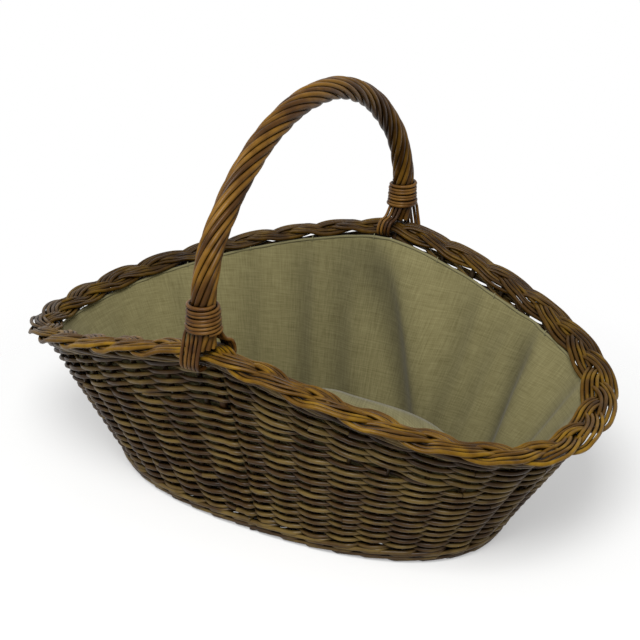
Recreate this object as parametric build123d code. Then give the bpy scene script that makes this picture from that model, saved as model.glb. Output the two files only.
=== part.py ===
from build123d import *
import math
import os

# A lined willow trug: oval stake-and-strand basket with a raised rim, a plaited border and a roped handle.
# Millimetres, +Z up, +X along the basket, origin on the floor under the middle of the base.

# Outside sizes of the finished basket
overall_length = 600
overall_width = 396
handle_top_height = 415

# Plaited border, whose centre line is highest beside the handle
border_height = 12
border_width_at_ends = 36
border_width_at_middle = 34
border_centre_height_at_middle = 220
border_centre_height_at_ends = 143
sheer_power = 1.27
rim_plan_power = 2.4
border_corner_share = 0.72

# Lobes of the plait: each edge swells where a strand turns back, and the other edge is then at its narrowest
lobe_count = 30
lobe_depth = 5
lobe_shift_share = 0.29
lobe_side_height_share = 0.63
lobe_tilt_share = 0.17
lobe_thick_place_share = 0.25

# Base, over the outside of the wall at floor level
base_length = 406
base_width = 224
base_plan_power = 2.35
base_clear_of_floor = 3
base_thickness = 10

# Woven wall
wall_thickness = 12
wall_thickness_at_crossings = 6.4
wall_in_from_border_centre_at_ends = 2
wall_in_from_border_centre_at_sides = 3
bottom_wale_height = 16
bottom_wale_extra_thickness = 1.5
top_wale_height = 9
top_wale_extra_thickness = 1
piece_clearance = 0.3
border_seat_clearance = 0.6

# Upright stakes
stake_count = 40
stake_diameter = 5
stake_clearance = 0.3
stake_foot_height = 4
end_stakes_each = 10

# Sticks of the base
long_stick_count = 3
long_stick_diameter = 6
long_stick_spacing = 24
cross_stick_count = 9
cross_stick_diameter = 9
cross_stick_spacing = 32
stick_clearance = 0.25
stick_end_inset = 2

# Handle: a thick bow in the middle with thinner rods laid round it
handle_core_diameter = 11.4
handle_rod_count = 10
handle_rod_diameter = 5
handle_rod_ring_radius = 8.5
handle_inset = 9
handle_shoulder_share = 0.7
handle_tallest_arch_share = 0.95
handle_peg_diameter = 7
handle_peg_depth = 70
handle_peg_clearance = 0.3

# Binding wound round each leg of the handle
binding_diameter = 3.4
binding_turns = 7
binding_pitch = 4
binding_clearance = 0.3
binding_above_border = 11
binding_past_straight_leg = 6
arcs_per_turn = 8
gap_samples_per_arc = 8

# Ties that hold the handle down over the border
tie_diameter = 3.6
tie_pitch = 4
outer_tie_count = 5
inner_tie_count = 4
outer_tie_shift = 11
inner_tie_shift = 4
tie_lean = 6
inner_tie_lean = 14
inner_tie_clearance = 0.7
inner_tie_head_clearance = 0.4
inner_tie_fall = 1.2
inner_tie_foot_drop = 2
outer_tie_bend_radius = 6
outer_tie_end_clearance = 1
tie_clearance = 0.4

# Cloth lining
cloth_thickness = 1.6
lining_clearance = 0.4
lining_hem_diameter = 3.2
hem_clearance = 0.7
lining_fold_depth = 5
lining_fold_half_width = 15
stakes_per_stitch = 2
stitch_diameter = 1
stitch_length = 4.5

# Where the main folds hang, as shares of a full turn from the +X end
fold_shares = (0.065, 0.115, 0.16, 0.205, 0.255, 0.33, 0.40, 0.60, 0.68, 0.80, 0.88, 0.945)
fold_depth_shares = (0.8, 1.0, 0.6, 1.0, 0.7, 0.6, 0.5, 0.5, 0.7, 0.6, 1.0, 0.7)
fold_profile_shares = ((-1, 0), (-0.45, 0.6), (0, 1), (0.45, 0.6), (1, 0))
fold_foot_share = 0.35

# Fineness of the rings and overrun of the cuts
rim_samples = 1440
ring_runs = 4
cut_overrun = 5

FULL_TURN = 2 * math.pi
UP = Vector(0, 0, 1)

border_half_length = (overall_length - border_width_at_ends) / 2
border_half_width = (overall_width - border_width_at_middle) / 2
wall_top_half_length = border_half_length - wall_in_from_border_centre_at_ends
wall_top_half_width = border_half_width - wall_in_from_border_centre_at_sides
base_half_length = (base_length - wall_thickness) / 2
base_half_width = (base_width - wall_thickness) / 2
border_top_at_handle = border_centre_height_at_middle + border_height / 2

# Handle: straight legs nearly as high as their bindings, then an arch of two shoulders and a crown
handle_half_span = overall_width / 2 - handle_inset
handle_bundle_radius = handle_rod_ring_radius + handle_rod_diameter / 2
binding_foot = border_top_at_handle + binding_above_border + binding_diameter / 2
binding_top = binding_foot + binding_pitch * binding_turns
handle_crown_height = handle_top_height - handle_bundle_radius
room_over_legs = handle_crown_height - binding_top + binding_past_straight_leg
arch_rise = min(room_over_legs, handle_half_span * handle_tallest_arch_share)
handle_straight_to_height = handle_crown_height - arch_rise
handle_shoulder_radius = arch_rise * handle_shoulder_share


def plan_point(half_length, half_width, power, angle):
    """Return the point at an angle on a rounded-rectangle oval."""
    cosine, sine = math.cos(angle), math.sin(angle)
    x = half_length * math.copysign(abs(cosine) ** (2 / power), cosine)
    y = half_width * math.copysign(abs(sine) ** (2 / power), sine)
    return Vector(x, y, 0)


def plan_normal(angle):
    """Return the level outward direction of the rim at an angle."""
    cosine, sine = math.cos(angle), math.sin(angle)
    steepness = 2 - 2 / rim_plan_power
    x = math.copysign(abs(cosine) ** steepness, cosine) / wall_top_half_length
    y = math.copysign(abs(sine) ** steepness, sine) / wall_top_half_width
    return Vector(x, y, 0).normalized()


def border_centre_height(x):
    """Return the height of the border's centre line above a place along the basket."""
    rise = border_centre_height_at_middle - border_centre_height_at_ends
    reach = min(abs(x) / border_half_length, 1)
    return border_centre_height_at_middle - rise * reach**sheer_power


def border_centre(angle):
    """Return a point of the border's centre line."""
    point = plan_point(border_half_length, border_half_width, rim_plan_power, angle)
    return point + UP * border_centre_height(point.X)


def wall_top(angle):
    """Return the middle of the wall's top edge, just under the border."""
    point = plan_point(wall_top_half_length, wall_top_half_width, rim_plan_power, angle)
    height = border_centre_height(border_centre(angle).X) - border_height / 2 - border_seat_clearance
    return point + UP * height


def wall_point(angle, height):
    """Return the point of the wall's middle surface at a height, on the straight line of a stake."""
    foot = plan_point(base_half_length, base_half_width, base_plan_power, angle)
    top = wall_top(angle)
    return foot + (top - foot) * (height / top.Z)


def wall_corners(angle, low, high, inner, outer):
    """Return the corners of a section through the wall, between two heights and two offsets."""
    out = plan_normal(angle)
    foot, head = wall_point(angle, low), wall_point(angle, high)
    return [foot + out * inner, foot + out * outer, head + out * outer, head + out * inner]


def oval_section(centre, out, half_width, half_height, outer_share, inner_share, thick_place):
    """Return a flattened round wire of four arcs across a ring, whose two sides may differ in height."""
    corner_out = out * (half_width * border_corner_share)
    outer_up, inner_up = UP * (half_height * outer_share), UP * (half_height * inner_share)
    thick_up = UP * half_height
    thick_out = out * (half_width * thick_place)
    middles = [out * half_width, thick_out + thick_up, out * -half_width, thick_out - thick_up]
    corners = [
        corner_out - outer_up,
        corner_out + outer_up,
        inner_up - corner_out,
        corner_out * -1 - inner_up,
    ]
    arcs = []
    for index, middle in enumerate(middles):
        start, end = corners[index], corners[(index + 1) % len(corners)]
        arcs.append(ThreePointArc(centre + start, centre + middle, centre + end))
    return Wire(arcs)


def closed_ring(sections):
    """Loft a closed ring through wires in order, in runs that share their end wires."""
    count = len(sections)
    run = math.ceil(count / ring_runs)
    pieces = []
    for start in range(0, count, run):
        stop = min(start + run, count)
        wires = [sections[index % count] for index in range(start, stop + 1)]
        pieces.append(Solid.make_loft(wires, ruled=True))
    return pieces[0].fuse(*pieces[1:])


def round_section(centre, out, radius):
    """Return a round wire of four arcs, standing across a ring."""
    return oval_section(centre, out, radius, radius, border_corner_share, border_corner_share, 0)


def run_of_rim():
    """Return the lengths of the border's centre line from the +X end to each of its samples."""
    points = [border_centre(FULL_TURN * index / rim_samples) for index in range(rim_samples + 1)]
    run = [0]
    for point, after in zip(points, points[1:]):
        run.append(run[-1] + (after - point).length)
    return run


rim_run = run_of_rim()


def rim_angle(share):
    """Return the angle up to which the border's centre line has run a share of its length."""
    place = rim_run[-1] * share
    after = next(number for number, length in enumerate(rim_run) if length > place)
    blend = (place - rim_run[after - 1]) / (rim_run[after] - rim_run[after - 1])
    return FULL_TURN * (after - 1 + blend) / rim_samples


def border_section(angle, swell):
    """Return the border's section, with its outer edge swollen at 1 and its inner edge at -1."""
    widening = (border_width_at_ends - border_width_at_middle) * abs(math.cos(angle))
    half_width = (border_width_at_middle + widening - lobe_depth) / 2
    out = plan_normal(angle)
    centre = border_centre(angle) + out * (lobe_depth / 2 * swell)
    outer_share = lobe_side_height_share - lobe_tilt_share * swell
    inner_share = lobe_side_height_share + lobe_tilt_share * swell
    thick_place = -lobe_thick_place_share * swell
    return oval_section(centre, out, half_width, border_height / 2, outer_share, inner_share, thick_place)


def wall_ring(low_of, high_of, inner, outer):
    """Return a band of the wall between two heights that may change round the basket."""
    sections = []
    for angle in wall_angles:
        corners = wall_corners(angle, low_of(angle), high_of(angle), inner, outer)
        sections.append(Wire.make_polygon(corners, close=True))
    return closed_ring(sections)


def rod(start, end, diameter):
    """Return a straight round rod between two points."""
    along = end - start
    return Solid.make_cylinder(diameter / 2, along.length, Plane(origin=start, z_dir=along))


def tube(path, diameter):
    """Return a round rod swept along a wire."""
    start = path @ 0
    disc = Face(Wire([Edge.make_circle(diameter / 2, Plane(origin=start, z_dir=path % 0))]))
    return Solid.sweep(disc, path)


def save(name, solids):
    """Write one node as a group of its solids."""
    shapes = list(solids)
    export_step(Compound(children=shapes), os.path.join("parts", name + ".step"))
    print(name, len(shapes), "solids,", round(sum(shape.volume for shape in shapes)), "mm3")


def along_handle(side_shift, out_shift, foot_height):
    """Return the wire of one rod of the handle, shifted sideways and outwards from the bow's centre line."""
    span = handle_half_span + out_shift
    spring = handle_straight_to_height
    shoulder = handle_shoulder_radius + out_shift
    shoulder_centre = handle_half_span - handle_shoulder_radius
    crown_radius = (
        handle_half_span**2 + arch_rise**2 - 2 * handle_half_span * handle_shoulder_radius
    ) / (2 * (arch_rise - handle_shoulder_radius))
    crown_centre = arch_rise - crown_radius
    turn = math.atan2(-crown_centre, shoulder_centre)

    def on_shoulder(side, angle):
        reach = side * (shoulder_centre + shoulder * math.cos(angle))
        return Vector(side_shift, reach, spring + shoulder * math.sin(angle))

    def on_crown(angle):
        radius = crown_radius + out_shift
        return Vector(side_shift, radius * math.cos(angle), spring + crown_centre + radius * math.sin(angle))

    return Wire(
        [
            Edge.make_line(Vector(side_shift, -span, foot_height), on_shoulder(-1, 0)),
            Edge.make_three_point_arc(on_shoulder(-1, 0), on_shoulder(-1, turn / 2), on_shoulder(-1, turn)),
            Edge.make_three_point_arc(on_crown(math.pi - turn), on_crown(math.pi / 2), on_crown(turn)),
            Edge.make_three_point_arc(on_shoulder(1, turn), on_shoulder(1, turn / 2), on_shoulder(1, 0)),
            Edge.make_line(on_shoulder(1, 0), Vector(side_shift, span, foot_height)),
        ]
    )


def turned(shape):
    """Return the copy that belongs to the far side, half a turn round the basket."""
    return shape.rotate(Axis.Z, math.degrees(math.pi))


stake_angles = [rim_angle((index + 1 / 2) / stake_count) for index in range(stake_count)]
quarter_angles = [FULL_TURN * quarter / 4 for quarter in range(4)]
wall_angles = sorted(stake_angles + quarter_angles)
half_wall = wall_thickness / 2

# Stakes, straight from the bottom wale to the border
stakes = []
stake_channels = []
for angle in stake_angles:
    rim_height = wall_top(angle).Z
    slope = (wall_top(angle) - wall_point(angle, 0)).normalized()
    head_edge_rise = stake_diameter / 2 * math.hypot(slope.X, slope.Y)
    head = wall_point(angle, rim_height - stake_clearance - head_edge_rise)
    stakes.append(rod(wall_point(angle, stake_foot_height), head, stake_diameter))
    hole_foot = wall_point(angle, stake_foot_height - stake_clearance)
    hole_top = wall_point(angle, rim_height + cut_overrun)
    stake_channels.append(rod(hole_foot, hole_top, stake_diameter + 2 * stake_clearance))

quarter = end_stakes_each // 2
side_each = (stake_count - 2 * end_stakes_each) // 2
groups = {
    "right_end_stakes": stakes[-quarter:] + stakes[:quarter],
    "far_side_stakes": stakes[quarter : quarter + side_each],
    "left_end_stakes": stakes[quarter + side_each : quarter + side_each + end_stakes_each],
    "near_side_stakes": stakes[quarter + side_each + end_stakes_each : -quarter],
}
for name, members in groups.items():
    save(name, members)

# Wall: bottom wale, plain weave and top wale
bottom_wale = wall_ring(
    lambda angle: 0, lambda angle: bottom_wale_height, -half_wall, half_wall + bottom_wale_extra_thickness
)


def weave_corners(angle, half_thickness):
    """Return the corners of a section through the randed wall."""
    high = wall_top(angle).Z - top_wale_height - piece_clearance
    return wall_corners(angle, bottom_wale_height + piece_clearance, high, -half_thickness, half_thickness)


# The randed wall is thick at each stake and thin where its rods cross between two, but not round the pegs
half_crossing = wall_thickness_at_crossings / 2
quarter_stakes = stake_count // 4
sections = []
for index, angle in enumerate(stake_angles):
    if index % quarter_stakes:
        before = weave_corners(stake_angles[index - 1], half_crossing)
        crossing = [(one + other) / 2 for one, other in zip(before, weave_corners(angle, half_crossing))]
    elif index % (2 * quarter_stakes):
        crossing = weave_corners(quarter_angles[index // quarter_stakes], half_wall)
    else:
        crossing = weave_corners(quarter_angles[index // quarter_stakes], half_crossing)
    sections += [crossing, weave_corners(angle, half_wall)]
side_weave = closed_ring([Wire.make_polygon(corners, close=True) for corners in sections])

top_wale = wall_ring(
    lambda angle: wall_top(angle).Z - top_wale_height,
    lambda angle: wall_top(angle).Z,
    -half_wall,
    half_wall + top_wale_extra_thickness,
)

# Handle pegs, which slant down inside the wall between two stakes
near_middle = FULL_TURN * 3 / 4
peg_head = wall_top(near_middle)
peg_slope = (peg_head - wall_point(near_middle, 0)).normalized()
peg_foot = peg_head - peg_slope * handle_peg_depth
leg_foot = Vector(0, -handle_half_span, border_top_at_handle + piece_clearance)
neck_head = leg_foot + UP * handle_peg_diameter
neck_slope = (neck_head - peg_head).normalized()

# Handle bow: one thick rod with its ends whittled thin and pushed down into the weave
neck = rod(peg_head, neck_head, handle_peg_diameter)
spike = rod(peg_foot, peg_head, handle_peg_diameter)
knuckle = Solid.make_sphere(handle_peg_diameter / 2, Plane(origin=peg_head))
peg = neck.fuse(spike, knuckle)
bow = tube(along_handle(0, 0, leg_foot.Z), handle_core_diameter)
save("handle_bow", [bow.fuse(peg, turned(peg))])

# Rods laid round the bow, standing on the border
rods = []
for index in range(handle_rod_count):
    angle = FULL_TURN * (index + 1 / 2) / handle_rod_count
    side_shift = handle_rod_ring_radius * math.cos(angle)
    out_shift = handle_rod_ring_radius * math.sin(angle)
    rods.append(tube(along_handle(side_shift, out_shift, leg_foot.Z), handle_rod_diameter))

# Sockets for the pegs, in the top wale, the weave below it and the border above
hole_diameter = handle_peg_diameter + 2 * handle_peg_clearance
socket = rod(peg_foot - peg_slope * handle_peg_clearance, peg_head + peg_slope * cut_overrun, hole_diameter)
neck_hole = rod(peg_head - neck_slope * cut_overrun, neck_head + neck_slope * cut_overrun, hole_diameter)
sockets = [socket, turned(socket)]
neck_holes = [neck_hole, turned(neck_hole)]
save("handle_rods", [handle_rod.cut(*neck_holes) for handle_rod in rods])
save("bottom_wale", [bottom_wale.cut(*stake_channels)])
save("side_weave", [side_weave.cut(*sockets, *stake_channels)])
save("top_wale", [top_wale.cut(*sockets, *stake_channels)])

# Plaited border, wider at the ends, with lobes by turns on its inner and its outer edge
swells = {}
for index in range(2 * lobe_count):
    swells[rim_angle((index / 2 + lobe_shift_share) / lobe_count)] = 1 if index % 2 else -1
for quarter in (1, 3):
    lobe_share = (lobe_count * quarter / 4 - lobe_shift_share) % 1
    swells[quarter_angles[quarter]] = 1 - 4 * abs(lobe_share - 1 / 2)
sections = [border_section(angle, swells[angle]) for angle in sorted(swells)]
border = closed_ring(sections)
save("plaited_border", [border.cut(*neck_holes)])

# Base: sticks threaded through split cross sticks, inside a woven panel
stick_height = base_clear_of_floor + base_thickness / 2
edge_inset = half_wall + lining_clearance
panel_low = [wall_point(angle, 0) - plan_normal(angle) * edge_inset for angle in wall_angles]
panel_high = [
    wall_point(angle, base_thickness) - plan_normal(angle) * edge_inset for angle in wall_angles
]
panel = Solid.make_loft(
    [
        Wire.make_polygon([point + UP * base_clear_of_floor for point in panel_low], close=True),
        Wire.make_polygon([point + UP * base_clear_of_floor for point in panel_high], close=True),
    ],
    ruled=True,
)


def base_edge(x, half_length, half_width):
    """Return how far the base's oval reaches sideways at a place along it."""
    share = min(abs(x) / half_length, 1)
    return half_width * (1 - share**base_plan_power) ** (1 / base_plan_power)


stick_half_length = base_half_length - edge_inset - stick_end_inset
stick_half_width = base_half_width - edge_inset - stick_end_inset
long_sticks, cross_sticks, panel_cuts, threads = [], [], [], []
for index in range(long_stick_count):
    y = (index - (long_stick_count - 1) / 2) * long_stick_spacing
    reach = base_edge(y * stick_half_length / stick_half_width, stick_half_length, stick_half_length)
    ends = Vector(-reach, y, stick_height), Vector(reach, y, stick_height)
    long_sticks.append(rod(*ends, long_stick_diameter))
    overrun = Vector(cut_overrun, 0, 0)
    wide = long_stick_diameter + 2 * stick_clearance
    threads.append(rod(ends[0] - overrun * 2, ends[1] + overrun * 2, wide))
for index in range(cross_stick_count):
    x = (index - (cross_stick_count - 1) / 2) * cross_stick_spacing
    reach = base_edge(x, stick_half_length, stick_half_width)
    ends = Vector(x, -reach, stick_height), Vector(x, reach, stick_height)
    cross_sticks.append(rod(*ends, cross_stick_diameter).cut(*threads))
    overrun = Vector(0, cut_overrun, 0)
    wide = cross_stick_diameter + 2 * stick_clearance
    panel_cuts.append(rod(ends[0] - overrun * 2, ends[1] + overrun * 2, wide))
save("base_long_sticks", long_sticks)
save("base_cross_sticks", cross_sticks)
save("base_weave", [panel.cut(*threads, *panel_cuts)])

# Cloth lining: a bottom panel, sides that hang in folds, a piped hem and the stitches that hold it
lining_floor = base_clear_of_floor + base_thickness + piece_clearance
lining_edge = [wall_point(angle, lining_floor) - plan_normal(angle) * edge_inset for angle in wall_angles]
lining_panel = Solid.extrude(Face(Wire.make_polygon(lining_edge, close=True)), UP * cloth_thickness)
save("lining_bottom", [lining_panel])

fold_half_angle = lining_fold_half_width / border_half_width
lining_places = {angle: 0 for angle in wall_angles}
for share, depth_share in zip(fold_shares, fold_depth_shares):
    for along_share, height_share in fold_profile_shares:
        angle = FULL_TURN * share + fold_half_angle * along_share
        lining_places[angle] = lining_fold_depth * depth_share * height_share
for angle in wall_angles:
    for share, depth_share in zip(fold_shares, fold_depth_shares):
        away = abs(angle - FULL_TURN * share) / fold_half_angle
        if away < 1:
            lining_places[angle] = lining_fold_depth * depth_share * (1 - away)
side_low = lining_floor + cloth_thickness + piece_clearance


def lining_corners(angle, fold):
    """Return the corners of a section through the lining, which follows the wall and its own fold."""
    ends = wall_angles + [FULL_TURN]
    after = next(index for index, end in enumerate(ends) if end > angle)
    before, blend = ends[after - 1], (angle - ends[after - 1]) / (ends[after] - ends[after - 1])
    outer = -half_wall - lining_clearance
    flats = []
    for end in (before, ends[after]):
        top = wall_top(end).Z - lining_hem_diameter - 2 * piece_clearance
        flats.append(wall_corners(end, side_low, top, outer - cloth_thickness, outer))
    corners = [one + (other - one) * blend for one, other in zip(*flats)]
    inward = (corners[0] - corners[1]).normalized()
    shifts = [fold * fold_foot_share, fold * fold_foot_share, fold, fold]
    return [corner + inward * shift for corner, shift in zip(corners, shifts)]


sections = []
for angle in sorted(lining_places):
    sections.append(Wire.make_polygon(lining_corners(angle, lining_places[angle]), close=True))
save("lining_sides", [closed_ring(sections)])

hem_radius = lining_hem_diameter / 2
hem_inset = half_wall + hem_clearance + hem_radius
sections = []
for angle in wall_angles:
    height = wall_top(angle).Z - hem_radius - piece_clearance
    centre = wall_point(angle, height) - plan_normal(angle) * hem_inset
    sections.append(round_section(centre, plan_normal(angle), hem_radius))
save("lining_hem", [closed_ring(sections)])

stitches = []
stitch_inset = hem_inset + hem_radius + piece_clearance + stitch_diameter / 2
for angle in stake_angles[::stakes_per_stitch]:
    hem_height = wall_top(angle).Z - hem_radius - piece_clearance
    foot = wall_point(angle, hem_height) - plan_normal(angle) * stitch_inset - UP * hem_radius
    stitches.append(rod(foot, foot + UP * stitch_length, stitch_diameter))
save("lining_stitches", stitches)

# Bindings: one unbroken rod each, wound round the leg in arcs of a part of a turn
binding_radius = handle_bundle_radius + binding_clearance + binding_diameter / 2
climb_angle = math.atan2(binding_pitch, FULL_TURN * binding_radius)


def binding_point(turn):
    """Return the place and direction of the binding's centre line after some turns."""
    angle = FULL_TURN * turn
    place = Vector(binding_radius * math.cos(angle), binding_radius * math.sin(angle), 0)
    place += Vector(0, -handle_half_span, binding_foot + binding_pitch * turn)
    level = Vector(-math.sin(angle), math.cos(angle), 0) * math.cos(climb_angle)
    return place, level + UP * math.sin(climb_angle)


binding_edges = []
binding_samples = []
step_count = binding_turns * arcs_per_turn // 2
for step in range(step_count):
    start, heading = binding_point(binding_turns * step / step_count)
    end, leaving = binding_point(binding_turns * (step + 1) / step_count)
    chord = end - start
    both = heading + leaving
    reach = chord.length**2 / (chord.dot(both) + math.sqrt(
        chord.dot(both) ** 2 + chord.length**2 * (4 - both.length**2)
    ))
    joint = (start + heading * reach + end - leaving * reach) / 2
    binding_edges.append(Edge.make_tangent_arc(start, heading, joint))
    binding_edges.append(Edge.make_tangent_arc(joint, binding_edges[-1] % 1, end))
first, heading = binding_point(0)
last, leaving = binding_point(binding_turns)
binding_edges.insert(0, Edge.make_line(first - heading * binding_diameter, first))
binding_edges.append(Edge.make_line(last, last + leaving * binding_diameter))
for edge in binding_edges:
    binding_samples += [edge @ (index / gap_samples_per_arc) for index in range(gap_samples_per_arc)]
skip = gap_samples_per_arc * arcs_per_turn // 2
least_gap = min(
    (one - other).length - binding_diameter
    for index, one in enumerate(binding_samples)
    for other in binding_samples[index + skip :]
)
print("least gap of a binding to itself:", round(least_gap, 2), "mm")
binding = tube(Wire(binding_edges), binding_diameter)
save("near_binding", [binding])
save("far_binding", [turned(binding)])

# Ties over the border: a fan down its outside and in to the wall, and a fan over its top to the inside
tie_radius = tie_diameter / 2
binding_low = border_top_at_handle + binding_above_border
outer_ties = []
tie_out = handle_half_span + handle_bundle_radius + binding_clearance + tie_radius
bend_centre_height = border_centre_height_at_middle - border_height / 2
outer_end_height = bend_centre_height - outer_tie_bend_radius
wall_out = half_wall + top_wale_extra_thickness - wall_point(near_middle, outer_end_height).Y
wall_lean = -peg_slope.Y / peg_slope.Z
for index in range(outer_tie_count):
    shift = (index - (outer_tie_count - 1) / 2) * tie_pitch
    head = Vector(shift - outer_tie_shift + tie_lean, -tie_out, binding_low - tie_clearance)
    foot_x = shift - outer_tie_shift
    bend_start = Vector(foot_x, -tie_out, bend_centre_height)
    bend_end = Vector(foot_x, outer_tie_bend_radius - tie_out, outer_end_height)
    path = Wire(
        [
            Edge.make_line(head, bend_start),
            Edge.make_tangent_arc(bend_start, (bend_start - head).normalized(), bend_end),
        ]
    )
    inward = path % 1
    level_run = tie_out - outer_tie_bend_radius - wall_out - outer_tie_end_clearance - tie_radius * wall_lean
    reach = level_run / inward.Y
    path = Wire([*path.edges(), Edge.make_line(bend_end, bend_end + inward * reach)])
    outer_ties.append(tube(path, tie_diameter))
save("near_outer_ties", outer_ties)
save("far_outer_ties", [turned(tie) for tie in outer_ties])

inner_ties = []
inner_edge = border_half_width - border_width_at_middle / 2
tie_start = handle_half_span - handle_bundle_radius - tie_diameter / 2 - inner_tie_head_clearance
tie_shoulder = inner_edge + tie_diameter
tie_level = border_top_at_handle + tie_radius + inner_tie_clearance
for index in range(inner_tie_count):
    shift = inner_tie_shift + (index - (inner_tie_count - 1) / 2) * tie_pitch
    head = Vector(shift, -tie_start, tie_level)
    shoulder = Vector(shift + inner_tie_lean, -tie_shoulder, tie_level - inner_tie_fall)
    foot_height = border_centre_height_at_middle - inner_tie_foot_drop
    foot = Vector(shoulder.X + tie_pitch, tie_radius + inner_tie_clearance - inner_edge, foot_height)
    path = Wire(
        [
            Edge.make_line(head, shoulder),
            Edge.make_tangent_arc(shoulder, (shoulder - head).normalized(), foot),
        ]
    )
    inner_ties.append(tube(path, tie_diameter))
save("near_inner_ties", inner_ties)
save("far_inner_ties", [turned(tie) for tie in inner_ties])
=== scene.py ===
"""Looks of a lined willow trug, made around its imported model. Sizes are in mm until a mesh is made."""

import logging
import math
from collections.abc import Callable
from dataclasses import dataclass, field
from enum import Enum
from functools import cached_property, partial

import bmesh
import bpy
import numpy as np
from mathutils import Matrix, Vector


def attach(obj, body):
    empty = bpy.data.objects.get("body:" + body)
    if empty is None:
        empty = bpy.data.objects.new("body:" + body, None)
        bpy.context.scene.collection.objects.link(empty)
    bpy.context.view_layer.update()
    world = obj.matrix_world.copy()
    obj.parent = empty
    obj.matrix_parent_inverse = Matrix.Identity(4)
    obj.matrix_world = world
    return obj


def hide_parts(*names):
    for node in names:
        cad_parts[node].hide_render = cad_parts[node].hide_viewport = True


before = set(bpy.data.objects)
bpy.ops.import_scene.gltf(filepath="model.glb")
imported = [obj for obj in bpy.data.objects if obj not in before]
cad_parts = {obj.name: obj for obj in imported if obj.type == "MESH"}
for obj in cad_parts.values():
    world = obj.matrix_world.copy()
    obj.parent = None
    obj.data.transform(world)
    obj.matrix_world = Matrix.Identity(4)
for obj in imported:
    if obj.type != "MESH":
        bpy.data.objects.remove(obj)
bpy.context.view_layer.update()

LOG = logging.getLogger("trug")
MM = 0.001
FULL_TURN = 2 * math.pi
TONE_STEPS = 24
UP = np.array([0.0, 0.0, 1.0])

NodeAdder = Callable[..., bpy.types.Node]
Heights = Callable[[np.ndarray], np.ndarray]


class Side(Enum):
    """The two sides that the handle stands on, with the factor that turns the near one there."""

    NEAR = 1
    FAR = -1


class Roundness(Enum):
    """How finely the cross-section of a rod is drawn."""

    SIX_SIDED = 1
    EIGHT_SIDED = 2


class Weave(Enum):
    """Slots of the record for a willow or cloth piece's finish, which nothing in this script reads."""

    WALL = "willow_weave"
    BORDER = "willow_border"
    HANDLE = "willow_handle"
    BINDING = "willow_binding"
    CLOTH = "lining_cloth"
    THREAD = "sewing_thread"


def linear(hex_colour: str) -> tuple[float, float, float, float]:
    """Turn an sRGB hex colour into the linear one that shaders use.

    Args:
        hex_colour: Six hex digits.

    Returns:
        Red, green, blue and an alpha of one.
    """
    channels = [int(hex_colour[i : i + 2], 16) / 255 for i in (0, 2, 4)]
    lit = [c / 12.92 if c <= 0.04045 else ((c + 0.055) / 1.055) ** 2.4 for c in channels]
    return (lit[0], lit[1], lit[2], 1.0)


def add_node(
    tree: bpy.types.NodeTree,
    kind: str,
    settings: dict[str, object] | None = None,
    inputs: dict[str | int, object] | None = None,
) -> bpy.types.Node:
    """Add a node, set its properties and fill or link its inputs.

    Args:
        tree: The material's or world's node tree.
        kind: The node's type name.
        settings: Properties of the node.
        inputs: Values, or output sockets to link, by input name or number.

    Returns:
        The new node.
    """
    node = tree.nodes.new(kind)
    for name, value in (settings or {}).items():
        setattr(node, name, value)
    for key, value in (inputs or {}).items():
        if isinstance(value, bpy.types.NodeSocket):
            tree.links.new(value, node.inputs[key])
        else:
            node.inputs[key].default_value = value
    return node


def new_material(name: str) -> tuple[bpy.types.Material, NodeAdder]:
    """Start a node material that is still empty.

    Args:
        name: The material's plain name.

    Returns:
        The material, and add_node for its own tree.
    """
    material = bpy.data.materials.new(name)
    material.use_nodes = True
    material.node_tree.nodes.clear()
    return material, partial(add_node, material.node_tree)


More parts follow.
